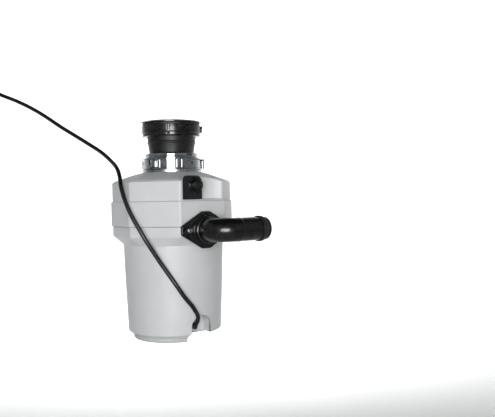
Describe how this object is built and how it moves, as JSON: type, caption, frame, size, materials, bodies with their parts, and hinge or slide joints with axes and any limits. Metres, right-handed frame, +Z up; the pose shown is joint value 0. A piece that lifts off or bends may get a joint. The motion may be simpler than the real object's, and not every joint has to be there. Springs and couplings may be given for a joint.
{
  "type": "kitchen waste disposer",
  "caption": "Pale octagonal disposer hung from a black and chrome sink mount, with a black elbow outlet, capped dishwasher inlet and mains lead.",
  "frame": {"origin": "centre of the sink opening, on the face that the sink flange rests on", "axes": "+Z up along the throat, +X out of the discharge outlet, +Y along the elbow's tail"},
  "size_m": [0.5635, 0.3815, 0.627],
  "materials": {
    "sink_flange": "polished stainless",
    "sink_gasket": "matt",
    "backup_flange": "satin black",
    "clamp_ring": "gloss black",
    "clamp_screws": "zinc plated",
    "ring_clip": "gloss black",
    "neck_sleeve": "moulded rubber",
    "snap_ring": "spring steel",
    "upper_ring": "bright chrome",
    "splash_guard": "moulded rubber",
    "lock_ring": "bright chrome",
    "lock_ears": "bright chrome",
    "chamber_collar": "pressed stainless",
    "chamber_cone": "pressed stainless",
    "grind_chamber": "pressed stainless",
    "sound_liner": "moulded foam",
    "grind_ring": "stainless",
    "turntable": "stainless",
    "impeller_a": "stainless casting",
    "impeller_b": "stainless casting",
    "impeller_pins": "stainless",
    "shaft_nut": "steel",
    "shaft": "ground steel",
    "shaft_seal": "nitrile",
    "upper_bearing": "ground steel",
    "lower_bearing": "ground steel",
    "discharge_housing": "die cast",
    "discharge_floor": "die cast",
    "discharge_spout": "die cast",
    "body_bolts": "zinc plated",
    "motor_can": "rolled steel",
    "stator_core": "laminations",
    "stator_coils": "enamelled copper wire",
    "rotor_core": "laminations",
    "end_frame": "die cast",
    "frame_screws": "zinc plated",
    "upper_cover": "satin moulded, pale grey",
    "seam_band": "satin moulded, pale grey",
    "lower_shell": "satin moulded, pale grey",
    "base_cap": "satin moulded, pale grey",
    "terminal_plate": "galvanised",
    "terminal_screw": "green earth screw",
    "overload_switch": "phenolic",
    "reset_button": "gloss red",
    "inlet_block": "moulded rubber",
    "inlet_spigot": "moulded nylon",
    "inlet_cap": "moulded rubber",
    "outlet_gasket": "nitrile",
    "outlet_flange": "black coated steel",
    "flange_bolts": "zinc plated",
    "elbow": "gloss black ABS",
    "tail_ring": "seal ring",
    "gland_body": "grey nylon",
    "gland_nut": "grey nylon",
    "gland_boot": "strain relief",
    "power_cord": "PVC sheath",
    "plug_body": "moulded",
    "plug_cover": "moulded",
    "plug_pins": "brass",
    "plug_screw": "zinc plated"
  },
  "bodies": {
    "housing": {"sink_flange": "sink_flange", "sink_gasket": "sink_gasket", "backup_flange": "backup_flange", "clamp_ring": "clamp_ring", "clamp_screws": "clamp_screws", "ring_clip": "ring_clip", "neck_sleeve": "neck_sleeve", "snap_ring": "snap_ring", "upper_ring": "upper_ring", "splash_guard": "splash_guard", "chamber_collar": "chamber_collar", "chamber_cone": "chamber_cone", "grind_chamber": "grind_chamber", "sound_liner": "sound_liner", "grind_ring": "grind_ring", "shaft_seal": "shaft_seal", "upper_bearing": "upper_bearing", "lower_bearing": "lower_bearing", "discharge_housing": "discharge_housing", "discharge_floor": "discharge_floor", "discharge_spout": "discharge_spout", "body_bolts": "body_bolts", "motor_can": "motor_can", "stator_core": "stator_core", "stator_coils": "stator_coils", "end_frame": "end_frame", "frame_screws": "frame_screws", "upper_cover": "upper_cover", "seam_band": "seam_band", "lower_shell": "lower_shell", "base_cap": "base_cap", "terminal_plate": "terminal_plate", "terminal_screw": "terminal_screw", "overload_switch": "overload_switch", "inlet_block": "inlet_block", "inlet_spigot": "inlet_spigot", "outlet_gasket": "outlet_gasket", "outlet_flange": "outlet_flange", "flange_bolts": "flange_bolts", "gland_body": "gland_body", "gland_nut": "gland_nut", "gland_boot": "gland_boot", "power_cord": "power_cord", "plug_body": "plug_body", "plug_cover": "plug_cover", "plug_pins": "plug_pins", "plug_screw": "plug_screw"},
    "lock_ring": {"lock_ring": "lock_ring", "lock_ears": "lock_ears"},
    "drive": {"turntable": "turntable", "impeller_pins": "impeller_pins", "shaft_nut": "shaft_nut", "shaft": "shaft", "rotor_core": "rotor_core"},
    "swing_a": {"impeller_a": "impeller_a"},
    "swing_b": {"impeller_b": "impeller_b"},
    "button": {"reset_button": "reset_button"},
    "cap": {"inlet_cap": "inlet_cap"},
    "elbow": {"elbow": "elbow", "tail_ring": "tail_ring"}
  },
  "joints": [
    {"name": "lock_turn", "type": "hinge", "parent": "housing", "child": "lock_ring", "pos_m": [0, 0, -0.073], "axis": [0, 0, 1], "range_deg": [-35, 0]},
    {"name": "drive_spin", "type": "hinge", "parent": "housing", "child": "drive", "pos_m": [0, 0, -0.2], "axis": [0, 0, 1], "continuous": true},
    {"name": "swing_a_turn", "type": "hinge", "parent": "drive", "child": "swing_a", "pos_m": [0.046, 0, -0.16], "axis": [0, 0, 1], "continuous": true},
    {"name": "swing_b_turn", "type": "hinge", "parent": "drive", "child": "swing_b", "pos_m": [-0.046, 0, -0.16], "axis": [0, 0, 1], "continuous": true},
    {"name": "reset_press", "type": "slide", "parent": "housing", "child": "button", "axis": [0, 0, 1], "range_m": [0, 0.0022], "stiffness_N_per_m": 600, "springref_m": -0.0005},
    {"name": "cap_pull", "type": "slide", "parent": "housing", "child": "cap", "axis": [1, 0, 0], "range_m": [0, 0.012]},
    {"name": "elbow_swivel", "type": "hinge", "parent": "housing", "child": "elbow", "pos_m": [0.11, 0, -0.187], "axis": [1, 0, 0], "range_deg": [-90, 90]}
  ]
}
